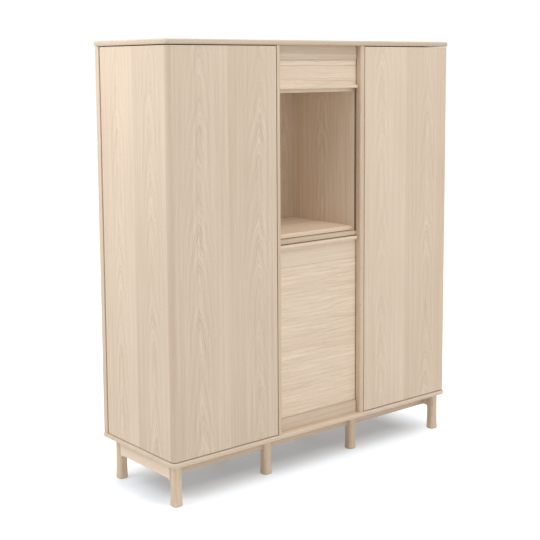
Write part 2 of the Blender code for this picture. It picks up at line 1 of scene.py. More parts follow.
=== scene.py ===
"""Looks for the highboard: oak materials, tambour slats, small fittings, studio and camera."""
import json
import math

import bmesh
import bpy
from mathutils import Matrix, Vector


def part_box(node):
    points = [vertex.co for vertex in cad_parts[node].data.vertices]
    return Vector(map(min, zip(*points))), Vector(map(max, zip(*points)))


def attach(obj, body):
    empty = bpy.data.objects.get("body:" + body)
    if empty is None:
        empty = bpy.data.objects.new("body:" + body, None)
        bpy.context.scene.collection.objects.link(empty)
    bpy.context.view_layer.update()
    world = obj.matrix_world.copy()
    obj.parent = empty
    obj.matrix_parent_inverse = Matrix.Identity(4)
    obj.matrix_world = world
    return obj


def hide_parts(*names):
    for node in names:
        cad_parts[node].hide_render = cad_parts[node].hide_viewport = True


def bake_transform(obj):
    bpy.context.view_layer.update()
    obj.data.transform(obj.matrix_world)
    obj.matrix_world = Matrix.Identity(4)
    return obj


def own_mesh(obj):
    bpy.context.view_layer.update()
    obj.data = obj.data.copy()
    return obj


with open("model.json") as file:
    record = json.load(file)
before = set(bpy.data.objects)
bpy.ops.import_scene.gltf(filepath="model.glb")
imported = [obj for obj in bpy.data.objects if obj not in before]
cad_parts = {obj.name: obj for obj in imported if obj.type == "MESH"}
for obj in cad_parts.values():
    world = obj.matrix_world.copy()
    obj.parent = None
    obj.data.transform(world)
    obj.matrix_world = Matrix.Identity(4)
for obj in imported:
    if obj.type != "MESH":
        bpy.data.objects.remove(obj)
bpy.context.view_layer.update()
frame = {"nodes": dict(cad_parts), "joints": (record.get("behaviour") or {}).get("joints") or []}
nodes = frame["nodes"]

# Camera, fitted to the photograph's frame of 540 x 540 pixels
FRAME_PX = 540
FOCAL_PX = 1111.12
PRINCIPAL_Y_PX = 200.0
SENSOR_MM = 36.0
CAMERA_AT = Vector((-2.7353, -3.2537, 1.5050))
CAMERA_YAW = math.radians(39.383)
CAMERA_PITCH = math.radians(6.822)
CAMERA_ROLL = math.radians(0.363)

# Directions along the grain, and directions across it that also run round a corner or over an edge
UP = (0.0, 0.0, 1.0)
WIDE = (1.0, 0.0, 0.0)
DEEP = (0.0, 1.0, 0.0)
LEFT_TURN = (1.0, -1.0, 0.0)
RIGHT_TURN = (1.0, 1.0, 0.0)
FRONT_BACK = (0.0, 1.0, 1.0)
SIDE_TOP = (1.0, 0.0, 1.0)

# Oak colours, light and dark parts of the figure (linear)
OAK_LIGHT = (0.790, 0.655, 0.515)
OAK_DARK = (0.585, 0.452, 0.330)
OAK_BROWN = (0.520, 0.360, 0.230)
# Painted shade: darker oak colours for the niche's back panel, for the shade deep in the niche
NICHE_SHADE_LIGHT = (0.727, 0.596, 0.458)
NICHE_SHADE_DARK = (0.538, 0.411, 0.294)

# Tints that multiply the oak, on the dividers and on strips of the doors' veneer
# Painted shade: darkens the divider's groove, where shade falls
GROOVE_SHADE = (0.46, 0.39, 0.32)
# Painted light: lightens the divider's inner face, the niche's side wall
PAINTED_WALL_LIGHT = (1.09, 1.11, 1.13)
# Painted shade: darkens the front 30 mm of the divider, its nose and the inner face ahead of the tambours
FRONT_SHADE = (0.92, 0.89, 0.86)
# Painted shade: darkens the front of the divider's outer face, in the gap beside the door
GAP_SHADE = (0.70, 0.64, 0.58)
# Partly the rounded corner veneer's pinkish tone, partly painted shade on the corner
CORNER_TONE_AND_SHADE = (0.91, 0.88, 0.86)
REAR_TINT = (1.06, 1.06, 1.06)
# Painted shade: a darker, warmer strip along the right door's front, up to its rounded corner
EDGE_SHADE = (0.98, 0.95, 0.92)

# Widths of veneer leaves; solid wood takes one leaf that is wider than the piece
LEAF = 0.23
PANEL_LEAF = 0.21
BOARD_LEAF = 0.22
SHELF_LEAF = 0.18
SOLID = 0.5

# Oak figure: scales of its noises across and along the grain, per metre
SWAY_SCALES = (5.0, 1.6)
HEART_SCALES = (2.0, 3.0)
RIPPLE_SCALES = (70.0, 16.0)
PATCH_SCALES = (1.0, 5.0)
FIBRE_SCALES = (520.0, 9.0)
STREAK_SCALES = (95.0, 1.3)
PORE_SCALES = (1500.0, 70.0)
BROAD_SCALES = (4.0, 2.0)

# Oak figure: growth rings per metre of depth, their slant, and how the depth grows away from a leaf's heart
RINGS = 190.0
YEARS = 330.0
RING_SLANT = 0.12
SIDE_SLOPE = 0.4
SIDE_CURVE = 6.0
HEART_FALL = -600.0
LATE_POWER = 1.5
LATE_MIDDLE = 0.4
PORE_LIMIT = 0.63
NOISE_MIDDLE = 0.5

# Oak figure: how far the noises shift a leaf's heart and the rings' depth, and the patches of strong figure
LEAF_SHIFT = 0.15
SWAY_SHIFT = 0.05
RIPPLE_SHIFT = 0.010
LEAF_DEPTH = 0.1
HEART_DEPTH = 0.05
RIPPLE_DEPTH = 0.006
PATCH_LEVEL = 0.6
PATCH_GAIN = 3.0
FAINT_FIGURE = 0.3

# Oak finish: what each part of the figure adds to the tone, the roughness and the height
TONE_START = 0.62
FIGURE_TONE = -0.22
YEARS_TONE = 0.07
FIBRE_TONE = 0.34
STREAK_TONE = 0.60
PORE_TONE = -0.22
BROAD_TONE = 0.35
ROUGH_START = 0.52
FIBRE_ROUGH = 0.18
PORE_ROUGH = 0.08
HEIGHT_START = 0.5
FIBRE_HEIGHT = 0.5
PORE_HEIGHT = -0.8
LATE_HEIGHT = -0.25
OAK_SPECULAR = 0.22

# Other materials: lines and grain per metre, and roughness
METAL_ALONG = 150.0
METAL_ACROSS = 2500.0
PLASTIC_GRAIN = 1800.0
PLASTIC_ROUGHNESS = 0.45
WEAVE = 5200.0
CLOTH_ROUGHNESS = 0.9

# Strength and distance of each bump
OAK_BUMP = (0.35, 0.0003)
PLASTIC_BUMP = (0.25, 0.0001)
CLOTH_BUMP = (0.4, 0.0003)

# Colour sockets of a Mix node
MIX_A = 6
MIX_B = 7
MIX_RESULT = 2

# Tambours: slat section, and the path that they run on
SLAT_PITCH = 0.0165
SLAT = 0.009
SLAT_COUNT = 39
SLAT_EDGE = ((0.0, 0.0009), (0.0002, 0.0004), (0.0005, 0.00012), (0.0009, 0.0))
LEAD_JOINT = 0.2
SHOULDER_WIDE = 0.0026
SHOULDER_DEEP = 0.0024
TOUCH = 0.0003
BEND = 0.045
RETURN_FROM_BACK = 0.0375
SPREAD_OVER = 0.0075
RUN_GAP = 0.001
HALVINGS = 50
NEAR = 1e-6

# Shadow gaps at the ends of rails and lead boards: width, and how far behind the front they reach
END_GAP = 0.0035
RAIL_REACH = 0.030
LEAD_REACH = 0.100
SAME_PLACE = 0.0001

# Screws: radius, places, and the form of a head in shares of its radius
PANEL_SCREW = 0.0036
STRIKE_SCREW = 0.0018
LATCH_SCREW = 0.0024
PANEL_SHARES = (0.1, 0.5, 0.9)
STRIKE_RISES = (-0.0068, 0.0068)
LATCH_DEPTHS = (0.012, 0.040)
HEAD_SIDES = 24
HEAD_RINGS = ((1.0, -0.02), (1.0, 0.06), (0.93, 0.14), (0.78, 0.20))
CROSS_ARM = 0.55
CROSS_HALF = 0.14
CROSS_LEVELS = (0.22, 0.02)

# Studio: light of the surround, and the floor's glow under the cabinet and away from it; the lower glow in
# a footprint under the cabinet is a painted shadow
AMBIENT = 0.50
FLOOR_HALF = 30.0
FLOOR_GLOW = 0.21
WHITE_GLOW = 0.75
GLOW_REACH = 0.24
FOOTPRINT = (0.565, 0.065)
SHADOW_LEFT = 0.035
FLOOR_ROUGHNESS = 0.9
FLOOR_COLOUR = (0.88, 0.89, 0.90)
SHADOW_COLOUR = (0.55, 0.60, 0.65)
WHITE = (1.0, 1.0, 1.0, 1.0)


# Shader nodes
def link(tree, value, socket):
    """Connect a socket, or set a plain value on it."""
    if isinstance(value, bpy.types.NodeSocket):
        tree.links.new(value, socket)
    else:
        socket.default_value = value


def math_node(tree, operation, a, b=0.0, clamp=False):
    """One Math node."""
    made = tree.nodes.new("ShaderNodeMath")
    made.operation = operation
    made.use_clamp = clamp
    link(tree, a, made.inputs[0])
    link(tree, b, made.inputs[1])
    return made.outputs[0]


def vector_math(tree, operation, vector):
    """One Vector Math node with its first input connected."""
    made = tree.nodes.new("ShaderNodeVectorMath")
    made.operation = operation
    tree.links.new(vector, made.inputs[0])
    return made


def dot(tree, vector, direction):
    """The part of a vector along a direction."""
    made = vector_math(tree, "DOT_PRODUCT", vector)
    made.inputs[1].default_value = direction
    return made.outputs["Value"]


def combine(tree, x, y, z):
    """A vector from three values."""
    made = tree.nodes.new("ShaderNodeCombineXYZ")
    for value, socket in zip((x, y, z), made.inputs):
        link(tree, value, socket)
    return made.outputs[0]


def object_place(tree):
    """The place on the object, in metres."""
    return tree.nodes.new("ShaderNodeTexCoord").outputs["Object"]


def noise(tree, vector, detail=2.0, roughness=0.5):
    """Noise at a scale of 1, so the vector sets its size."""
    made = tree.nodes.new("ShaderNodeTexNoise")
    made.inputs["Scale"].default_value = 1.0
    made.inputs["Detail"].default_value = detail
    made.inputs["Roughness"].default_value = roughness
    tree.links.new(vector, made.inputs["Vector"])
    return made.outputs["Fac"]


def random_values(tree, value):
    """Three random values that change with a whole number."""
    made = tree.nodes.new("ShaderNodeTexWhiteNoise")
    made.noise_dimensions = "1D"
    tree.links.new(value, made.inputs["W"])
    split = tree.nodes.new("ShaderNodeSeparateColor")
    tree.links.new(made.outputs["Color"], split.inputs[0])
    return split.outputs


def ramp(tree, value, stops):
    """A colour ramp between two (position, colour) stops."""
    made = tree.nodes.new("ShaderNodeValToRGB")
    elements = made.color_ramp.elements
    for element, (place, colour) in zip(elements, stops):
        element.position = place
        element.color = (*colour, 1.0)
    tree.links.new(value, made.inputs[0])
    return made.outputs[0]


def weighted(tree, terms, start):
    """A start value plus weight * (value - middle) for each term."""
    total = start
    for value, middle, weight in terms:
        part = math_node(tree, "SUBTRACT", value, middle)
        part = math_node(tree, "MULTIPLY", part, weight)
        total = math_node(tree, "ADD", total, part)
    return total


def between(tree, value, low, high):
    """1 where a value lies between two limits."""
    return math_node(tree, "MULTIPLY", math_node(tree, "GREATER_THAN", value, low),
                     math_node(tree, "LESS_THAN", value, high))


def multiplied(tree, factor, colour, other):
    """A colour, multiplied by another where the factor is 1."""
    made = tree.nodes.new("ShaderNodeMix")
    made.data_type = "RGBA"
    made.blend_type = "MULTIPLY"
    tree.links.new(factor, made.inputs[0])
    tree.links.new(colour, made.inputs[MIX_A])
    made.inputs[MIX_B].default_value = (*other, 1.0)
    return made.outputs[MIX_RESULT]


def add_bump(tree, shader, height, strength, distance):
    """Bump from a height value."""
    bump = tree.nodes.new("ShaderNodeBump")
    bump.inputs["Strength"].default_value = strength
    bump.inputs["Distance"].default_value = distance
    tree.links.new(height, bump.inputs["Height"])
    tree.links.new(bump.outputs[0], shader.inputs["Normal"])


def new_material(name):
    """An empty Principled material."""
    mat = bpy.data.materials.new(name)
    mat.use_nodes = True
    return mat, mat.node_tree, mat.node_tree.nodes["Principled BSDF"]


def shade(colour, factor):
    """A colour made lighter or darker."""
    return tuple(channel * factor for channel in colour)


# Materials
def divider_tints(tree, colour, place, groove):
    """The tints of a divider: painted shade in the groove, painted light on the inner face, painted shade
    on the front and on the outer face in the gap at the door.
    """
    groove_in, groove_out, front_shade_back, outer_face = groove
    x = math_node(tree, "ABSOLUTE", dot(tree, place, WIDE))
    behind = math_node(tree, "GREATER_THAN", dot(tree, place, DEEP), front_shade_back)
    ahead = math_node(tree, "SUBTRACT", 1.0, behind)
    inside = math_node(tree, "MULTIPLY", between(tree, x, groove_in, groove_out), behind)
    inner = math_node(tree, "MULTIPLY", math_node(tree, "LESS_THAN", x, groove_in), behind)
    outer = math_node(tree, "MULTIPLY", math_node(tree, "GREATER_THAN", x, outer_face), ahead)
    for factor, tint in ((inside, GROOVE_SHADE), (inner, PAINTED_WALL_LIGHT), (ahead, FRONT_SHADE), (outer, GAP_SHADE)):
        colour = multiplied(tree, factor, colour, tint)
    return colour


def oak(name, along, across, leaf, start=0.0, tone=1.0, crown=1.0, contrast=1.0, seed=0.0,
        drift=0.16, spread=0.12, light=OAK_LIGHT, dark=OAK_DARK, strips=(), groove=None, slats=False):
    """Pale soaped oak: crown-cut figure in each veneer leaf, fibres, pores and slow changes of tone.

    along and across are the grain's directions; leaf is the width of a veneer leaf, and start its first
    edge; crown is how strongly the rings slant, and contrast the strength of the figure; drift and spread
    are the change of tone over a leaf and between leaves; strips are spans of the across value with a tint;
    groove holds the limits for divider_tints; slats takes the across value from the slats."""
    mat, tree, shader = new_material(name)
    place = object_place(tree)
    w = dot(tree, place, along)
    if slats:
        unrolled = tree.nodes.new("ShaderNodeAttribute")
        unrolled.attribute_name = "unrolled"
        u = unrolled.outputs["Fac"]
    else:
        u = dot(tree, place, across)
    count = math_node(tree, "DIVIDE", math_node(tree, "SUBTRACT", u, start), leaf)
    index = math_node(tree, "ADD", math_node(tree, "FLOOR", count), seed)
    in_leaf = math_node(tree, "SUBTRACT", math_node(tree, "FRACT", count), 0.5)
    rand = random_values(tree, index)

    def grain(scales, detail, roughness=0.5):
        """Noise in the grain, with a scale across it and one along it."""
        scaled_u = math_node(tree, "MULTIPLY", u, scales[0])
        scaled_w = math_node(tree, "MULTIPLY", w, scales[1])
        return noise(tree, combine(tree, scaled_u, scaled_w, index), detail, roughness)

    # Growth rings cut at a slant: pointed crowns along the middle of a leaf, straight lines beside them
    sway = grain(SWAY_SCALES, 2.0)
    heart = grain(HEART_SCALES, 2.0)
    ripple = grain(RIPPLE_SCALES, 2.0)
    side = math_node(tree, "MULTIPLY", in_leaf, leaf)
    shifts = ((rand[0], NOISE_MIDDLE, LEAF_SHIFT * leaf), (sway, NOISE_MIDDLE, SWAY_SHIFT),
              (ripple, NOISE_MIDDLE, RIPPLE_SHIFT))
    side = weighted(tree, shifts, side)
    square = math_node(tree, "MULTIPLY", side, side)
    slant = math_node(tree, "MULTIPLY", w, RING_SLANT * crown)
    slopes = ((math_node(tree, "ABSOLUTE", side), 0.0, SIDE_SLOPE), (square, 0.0, SIDE_CURVE),
              (rand[1], NOISE_MIDDLE, LEAF_DEPTH), (heart, NOISE_MIDDLE, HEART_DEPTH * crown),
              (ripple, NOISE_MIDDLE, RIPPLE_DEPTH * crown))
    depth = weighted(tree, slopes, slant)
    ring = math_node(tree, "FRACT", math_node(tree, "MULTIPLY", depth, RINGS))
    years = math_node(tree, "SINE", math_node(tree, "MULTIPLY", depth, YEARS))
    late = math_node(tree, "ABSOLUTE", weighted(tree, ((ring, 0.0, 2.0),), -1.0))
    late = math_node(tree, "POWER", late, LATE_POWER)

    # The figure is strong in patches near the heart of a leaf, and faint beside it
    near = math_node(tree, "EXPONENT", math_node(tree, "MULTIPLY", square, HEART_FALL))
    patch = weighted(tree, ((grain(PATCH_SCALES, 1.0), NOISE_MIDDLE, PATCH_GAIN),), PATCH_LEVEL)
    near = math_node(tree, "MULTIPLY", near, math_node(tree, "MAXIMUM", patch, 0.0))
    near = math_node(tree, "ADD", near, FAINT_FIGURE)
    figure = math_node(tree, "MULTIPLY", math_node(tree, "SUBTRACT", late, LATE_MIDDLE), near)
    years = math_node(tree, "MULTIPLY", years, near)

    fibre = grain(FIBRE_SCALES, 3.0, 0.6)
    streak = grain(STREAK_SCALES, 3.0, 0.6)
    pore = math_node(tree, "GREATER_THAN", grain(PORE_SCALES, 1.0), PORE_LIMIT)
    pore = math_node(tree, "MULTIPLY", pore, late)
    broad = grain(BROAD_SCALES, 1.0)
    tones = ((figure, 0.0, FIGURE_TONE * contrast), (years, 0.0, YEARS_TONE * contrast),
             (fibre, NOISE_MIDDLE, FIBRE_TONE * contrast), (streak, NOISE_MIDDLE, STREAK_TONE * contrast),
             (pore, 0.0, PORE_TONE * contrast), (broad, NOISE_MIDDLE, BROAD_TONE),
             (rand[2], NOISE_MIDDLE, spread), (in_leaf, 0.0, drift))
    pale = math_node(tree, "ADD", weighted(tree, tones, TONE_START), 0.0, clamp=True)
    colour = ramp(tree, pale, ((0.0, shade(dark, tone)), (1.0, shade(light, tone))))
    for low, high, tint in strips:
        colour = multiplied(tree, between(tree, u, low, high), colour, tint)
    if groove:
        colour = divider_tints(tree, colour, place, groove)
    tree.links.new(colour, shader.inputs["Base Color"])
    roughs = ((fibre, NOISE_MIDDLE, FIBRE_ROUGH), (pore, 0.0, PORE_ROUGH))
    tree.links.new(weighted(tree, roughs, ROUGH_START), shader.inputs["Roughness"])
    shader.inputs["Specular IOR Level"].default_value = OAK_SPECULAR
    heights = ((fibre, NOISE_MIDDLE, FIBRE_HEIGHT), (pore, 0.0, PORE_HEIGHT), (late, 0.5, LATE_HEIGHT))
    add_bump(tree, shader, weighted(tree, heights, HEIGHT_START), *OAK_BUMP)
    return mat


def metal(name, colour, roughness, along):
    """Turned or brushed metal with fine lines along one direction."""
    mat, tree, shader = new_material(name)
    stretch = vector_math(tree, "MULTIPLY", object_place(tree))
    stretch.inputs[1].default_value = [METAL_ALONG if axis else METAL_ACROSS for axis in along]
    lines = noise(tree, stretch.outputs[0], 3.0, 0.6)
    tones = ((0.3, shade(colour, 0.82)), (0.7, colour))
    tree.links.new(ramp(tree, lines, tones), shader.inputs["Base Color"])
    rough = weighted(tree, ((lines, NOISE_MIDDLE, 0.25),), roughness)
    tree.links.new(rough, shader.inputs["Roughness"])
    shader.inputs["Metallic"].default_value = 1.0
    return mat


def plastic(name, colour):
    """Moulded plastic with a fine spark-eroded grain."""
    mat, tree, shader = new_material(name)
    stretch = vector_math(tree, "SCALE", object_place(tree))
    stretch.inputs["Scale"].default_value = PLASTIC_GRAIN
    grain = noise(tree, stretch.outputs[0], 2.0, 0.5)
    tones = ((0.3, shade(colour, 0.9)), (0.7, shade(colour, 1.06)))
    tree.links.new(ramp(tree, grain, tones), shader.inputs["Base Color"])
    rough = weighted(tree, ((grain, NOISE_MIDDLE, 0.2),), PLASTIC_ROUGHNESS)
    tree.links.new(rough, shader.inputs["Roughness"])
    add_bump(tree, shader, grain, *PLASTIC_BUMP)
    return mat


def cloth(name, colour):
    """Plain-woven canvas."""
    mat, tree, shader = new_material(name)
    split = tree.nodes.new("ShaderNodeSeparateXYZ")
    tree.links.new(object_place(tree), split.inputs[0])
    warp = math_node(tree, "SINE", math_node(tree, "MULTIPLY", split.outputs[0], WEAVE))
    weft = math_node(tree, "SINE", math_node(tree, "MULTIPLY", split.outputs[2], WEAVE))
    weave = weighted(tree, ((math_node(tree, "MULTIPLY", warp, weft), 0.0, 0.5),), 0.5)
    tones = ((0.0, shade(colour, 0.8)), (1.0, colour))
    tree.links.new(ramp(tree, weave, tones), shader.inputs["Base Color"])
    shader.inputs["Roughness"].default_value = CLOTH_ROUGHNESS
    add_bump(tree, shader, weave, *CLOTH_BUMP)
    return mat


# Places taken from the frame
travel = {joint["name"]: max(joint["range_m"]) for joint in frame["joints"] if joint["type"] == "slide"}
door_low, door_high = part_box("right_corner_door")
divider_low, divider_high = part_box("right_divider")
curtain_low, curtain_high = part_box("lower_tambour_curtain")
run_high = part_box("upper_tambour_curtain")[1]
upper_lead_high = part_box("upper_tambour_lead")[1]
top_rail_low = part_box("column_top_rail")[0]
HALF = door_high.x
FRONT = door_low.y
DIVIDER_IN = divider_low.x
CURTAIN_HALF = curtain_high.x
TRACK_Y = curtain_low.y + SLAT / 2
RETURN_Y = divider_high.y - RETURN_FROM_BACK
TOP_BEND = run_high.z - SLAT / 2 - BEND
LOW_BEND = curtain_low.z + SLAT / 2 + BEND
LOWER_START = curtain_high.z
UPPER_START = upper_lead_high.z + TOUCH
SPREAD_LOW = top_rail_low.z
SPREAD_HIGH = SPREAD_LOW + SPREAD_OVER

# Strips of the doors' veneer, in the across value: the rounded corner, with its pinkish tone and painted
# shade, the side leaf's rear, and painted shade along the right door's edge
ROUNDED = 0.017
EDGE_SHADE_WIDE = 0.062
LEFT_CORNER = -HALF - FRONT
RIGHT_CORNER = HALF + FRONT
LEFT_REAR = LEFT_CORNER - 1.0
CORNER_STRIP = (LEFT_CORNER - ROUNDED, LEFT_CORNER + ROUNDED, CORNER_TONE_AND_SHADE)
REAR_STRIP = (LEFT_REAR, LEFT_CORNER + ROUNDED - LEAF, REAR_TINT)
EDGE_SHADE_STRIP = (RIGHT_CORNER - EDGE_SHADE_WIDE, RIGHT_CORNER, EDGE_SHADE)

# Limits of a divider's tints: start and end of the groove's depth, back of the painted shade on the front,
# outer face
INNER_SKIN = 0.0004
OUTER_SKIN = 0.0006
GROOVE_DEEP = 0.009
# How far back the painted shade on the divider's front reaches
FRONT_SHADE_DEEP = 0.030
DIVIDER_LEAF_START = -0.06
GROOVE = (DIVIDER_IN + INNER_SKIN, DIVIDER_IN + GROOVE_DEEP, FRONT + FRONT_SHADE_DEEP,
          divider_high.x - OUTER_SKIN)

oak_left_door = oak("oak_left_door", UP, LEFT_TURN, LEAF, LEFT_CORNER + ROUNDED, tone=0.93, contrast=1.8,
                    seed=3.0, strips=(CORNER_STRIP, REAR_STRIP))
oak_right_door = oak("oak_right_door", UP, RIGHT_TURN, LEAF, RIGHT_CORNER - ROUNDED / 2, contrast=1.5,
                     seed=17.0, strips=(EDGE_SHADE_STRIP,))
oak_divider = oak("oak_divider", UP, RIGHT_TURN, SOLID, DIVIDER_LEAF_START, contrast=2.3, seed=29.0,
                  groove=GROOVE)
oak_panel = oak("oak_panel", UP, RIGHT_TURN, PANEL_LEAF, contrast=1.3, seed=33.0)
oak_niche = oak("oak_niche", UP, RIGHT_TURN, PANEL_LEAF, contrast=1.6, seed=35.0, light=NICHE_SHADE_LIGHT,
                dark=NICHE_SHADE_DARK)
oak_post = oak("oak_post", UP, RIGHT_TURN, SOLID, tone=0.96, crown=0.3, seed=5.0, drift=0.0)
oak_top = oak("oak_top", WIDE, FRONT_BACK, BOARD_LEAF, tone=0.87, contrast=1.4, seed=41.0)
oak_bottom = oak("oak_bottom", WIDE, FRONT_BACK, BOARD_LEAF, tone=0.98, contrast=1.4, seed=45.0)
# Painted light: the brighter tone on the shelves stands in for light on the niche floor
oak_shelf = oak("oak_shelf", WIDE, FRONT_BACK, SHELF_LEAF, tone=1.12, seed=53.0)
oak_rail = oak("oak_rail", WIDE, FRONT_BACK, SOLID, tone=0.90, crown=0.4, contrast=1.7, seed=67.0,
               drift=0.0, dark=OAK_BROWN)
oak_lead = oak("oak_lead", WIDE, FRONT_BACK, SOLID, tone=1.03, crown=0.15, contrast=1.7, seed=71.0,
               drift=0.0)
# Painted light: the brighter tone on the aprons stands in for light that the bottom board's overhang keeps
# off them
oak_apron = oak("oak_apron", DEEP, SIDE_TOP, SOLID, tone=1.13, crown=0.3, contrast=1.7, seed=83.0,
                drift=0.0)
oak_leg = oak("oak_leg", UP, RIGHT_TURN, SOLID, tone=1.03, crown=0.2, contrast=1.8, seed=97.0,
              drift=0.0, dark=OAK_BROWN)
oak_slats = oak("oak_slats", WIDE, UP, SLAT_PITCH, tone=1.08, crown=0.2, contrast=1.3, seed=101.0,
                drift=0.0, spread=0.10, slats=True)
# Painted shade: a darker oak on the slats' tenons, seen in the gap at the groove
oak_tenons_painted_shade = oak("oak_tenons_painted_shade", WIDE, UP, SLAT_PITCH, tone=0.72, crown=0.2, seed=101.0, drift=0.0,
                 spread=0.10, slats=True)
steel = metal("steel", (0.62, 0.61, 0.59), 0.30, UP)
dark_steel = metal("dark_steel", (0.16, 0.15, 0.14), 0.40, UP)
brass = metal("brass", (0.72, 0.54, 0.28), 0.28, UP)
grey_plastic = plastic("grey_plastic", (0.36, 0.36, 0.35))
canvas = cloth("canvas", (0.60, 0.55, 0.46))

MATERIALS = {
    oak_left_door: ["left_corner_door"],
    oak_right_door: ["right_corner_door"],
    oak_divider: ["left_divider", "right_divider"],
    oak_panel: ["left_back_panel", "right_back_panel", "centre_back_panel", "lower_back_panel"],
    oak_niche: ["niche_back_panel"],
    oak_post: ["left_back_post", "right_back_post"],
    oak_top: ["top_board"],
    oak_bottom: ["bottom_board"],
    oak_shelf: ["niche_ceiling", "niche_floor", "lower_compartment_floor", "lower_compartment_shelf",
                *(name for name in nodes if "_bay_shelf_" in name)],
    oak_rail: ["column_top_rail", "column_plinth_rail", "tambour_stop_rail", "front_long_rail",
               "back_long_rail"],
    oak_lead: ["upper_tambour_lead", "lower_tambour_lead", "upper_tambour_curtain",
               "lower_tambour_curtain"],
    oak_apron: ["left_side_apron", "right_side_apron"],
    oak_leg: [name for name in nodes if name.endswith("_leg")],
    steel: [name for name in nodes if name.endswith(("_plunger", "_strike_plate"))],
    dark_steel: [name for name in nodes if name.endswith("_pivot")],
    brass: [name for name in nodes if name.endswith("_bush")],
    grey_plastic: ["left_latch_body", "right_latch_body"],
}
for mat, names in MATERIALS.items():
    for name in names:
        mesh = nodes[name].data
        mesh.materials.clear()
        mesh.materials.append(mat)


def add_object(name, data):
    """A new object in the scene."""
    obj = bpy.data.objects.new(name, data)
    bpy.context.scene.collection.objects.link(obj)
    return obj


# Shadow gaps at the ends of the column's rails and lead boards
def eased_ends(node, body, reach):
    """A copy of a board whose ends stand back from the dividers, as far behind the front as reach.

    The tongues of a lead board stay in the grooves, with their front face set back."""
    mesh = nodes[node].data.copy()
    tongues = [vert.co.y for vert in mesh.vertices if abs(vert.co.x) > DIVIDER_IN]
    tongue_front = min(tongues, default=math.inf)
    for vert in mesh.vertices:
        if abs(vert.co.y - tongue_front) < SAME_PLACE:
            vert.co.y += SHOULDER_DEEP
        if abs(vert.co.x) < DIVIDER_IN and vert.co.y < FRONT + reach:
            vert.co.x -= math.copysign(END_GAP, vert.co.x)
    obj = add_object(node + "_eased", mesh)
    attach(obj, body)
    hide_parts(node)


for node in ("column_top_rail", "column_plinth_rail"):
    eased_ends(node, "carcass", RAIL_REACH)
for body in ("upper_tambour", "lower_tambour"):
    eased_ends(body + "_lead", body, LEAD_REACH)


# Tambour slats on their canvas
def track(start_z, bend_z, way, distance):
    """Place on a tambour's path and its outward direction, in Y and Z."""
    front = abs(bend_z - start_z)
    level = RETURN_Y - TRACK_Y - 2 * BEND
    quarter = BEND * math.pi / 2
    if distance <= front:
        return (TRACK_Y, start_z + way * distance), (-1.0, 0.0)
    distance -= front
    if distance <= quarter:
        out = (-math.cos(distance / BEND), way * math.sin(distance / BEND))
        return (TRACK_Y + BEND + BEND * out[0], bend_z + BEND * out[1]), out
    distance -= quarter
    if distance <= level:
        return (TRACK_Y + BEND + distance, bend_z + way * BEND), (0.0, way)
    distance -= level
    if distance <= quarter:
        out = (math.sin(distance / BEND), way * math.cos(distance / BEND))
        return (RETURN_Y - BEND + BEND * out[0], bend_z + BEND * out[1]), out
    return (RETURN_Y, bend_z - way * (distance - quarter)), (1.0, 0.0)


def slat_steps(first, last, lead_joint=1.0):
    """Distance and depth of each point of the slats' section between two distances.

    lead_joint is the share of the depth that the joint with the lead board has."""
    steps = []
    for i in range(SLAT_COUNT + 1):
        share = 1.0 if i else lead_joint
        left = [(i * SLAT_PITCH - at, deep * share) for at, deep in SLAT_EDGE[:0:-1]]
        right = [(i * SLAT_PITCH + at, deep * share) for at, deep in SLAT_EDGE]
        steps += left + right
    inside = [step for step in steps if first - NEAR <= step[0] <= last + NEAR]
    if inside[0][0] > first + NEAR:
        inside.insert(0, (first, 0.0))
    if inside[-1][0] < last - NEAR:
        inside.append((last, 0.0))
    return inside


def track_chain(start_z, bend_z, way, steps):
    """(place, outward direction, depth, distance) of each step on a tambour's path."""
    return [(*track(start_z, bend_z, way, distance), deep, distance) for distance, deep in steps]


def recalculate_normals(mesh):
    """Turn all faces of a closed mesh outwards."""
    bm = bmesh.new()
    bm.from_mesh(mesh)
    bmesh.ops.recalc_face_normals(bm, faces=bm.faces)
    bm.to_mesh(mesh)
    bm.free()


def slat_piece(name, chain):
    """A closed strip of slats from (place, outward direction, depth, distance) steps.

    The ends are shouldered: a thinner tenon runs in the groove, its faces in a darker oak, painted shade in
    the gap."""
    verts = []
    values = []
    faces = []
    finish = []
    face_oak, face_canvas, face_painted_shade = range(3)
    behind = -SLAT / 2
    tenon = SLAT / 2 - SHOULDER_DEEP
    shoulder = DIVIDER_IN - SHOULDER_WIDE
    for (y, z), (out_y, out_z), deep, distance in chain:
        ahead = SLAT / 2 - deep
        section = ((-CURTAIN_HALF, behind), (-CURTAIN_HALF, tenon), (-shoulder, tenon), (-shoulder, ahead),
                   (shoulder, ahead), (shoulder, tenon), (CURTAIN_HALF, tenon), (CURTAIN_HALF, behind))
        for x, rise in section:
            verts.append((x, y + out_y * rise, z + out_z * rise))
            values.append(distance)
    size = len(section)
    for i in range(len(chain) - 1):
        a = size * i
        for j in range(size):
            k = (j + 1) % size
            faces.append((a + j, a + k, a + size + k, a + size + j))
        finish += [face_painted_shade, face_painted_shade, face_oak, face_oak, face_oak, face_painted_shade, face_painted_shade, face_canvas]
    faces += [range(size), range(len(verts) - size, len(verts))]
    finish += [face_oak, face_oak]
    mesh = bpy.data.meshes.new(name)
    mesh.from_pydata(verts, [], faces)
    unrolled = mesh.attributes.new("unrolled", "FLOAT", "POINT")
    unrolled.data.foreach_set("value", values)
    for mat in (oak_slats, canvas, oak_tenons_painted_shade):
        mesh.materials.append(mat)
    mesh.polygons.foreach_set("material_index", finish)
    recalculate_normals(mesh)
    obj = add_object(name, mesh)
    return obj


def lower_chain(first, last):
    """Steps of the lower tambour, from its lead board down."""
    return track_chain(LOWER_START, LOW_BEND, -1.0, slat_steps(first, last, LEAD_JOINT))


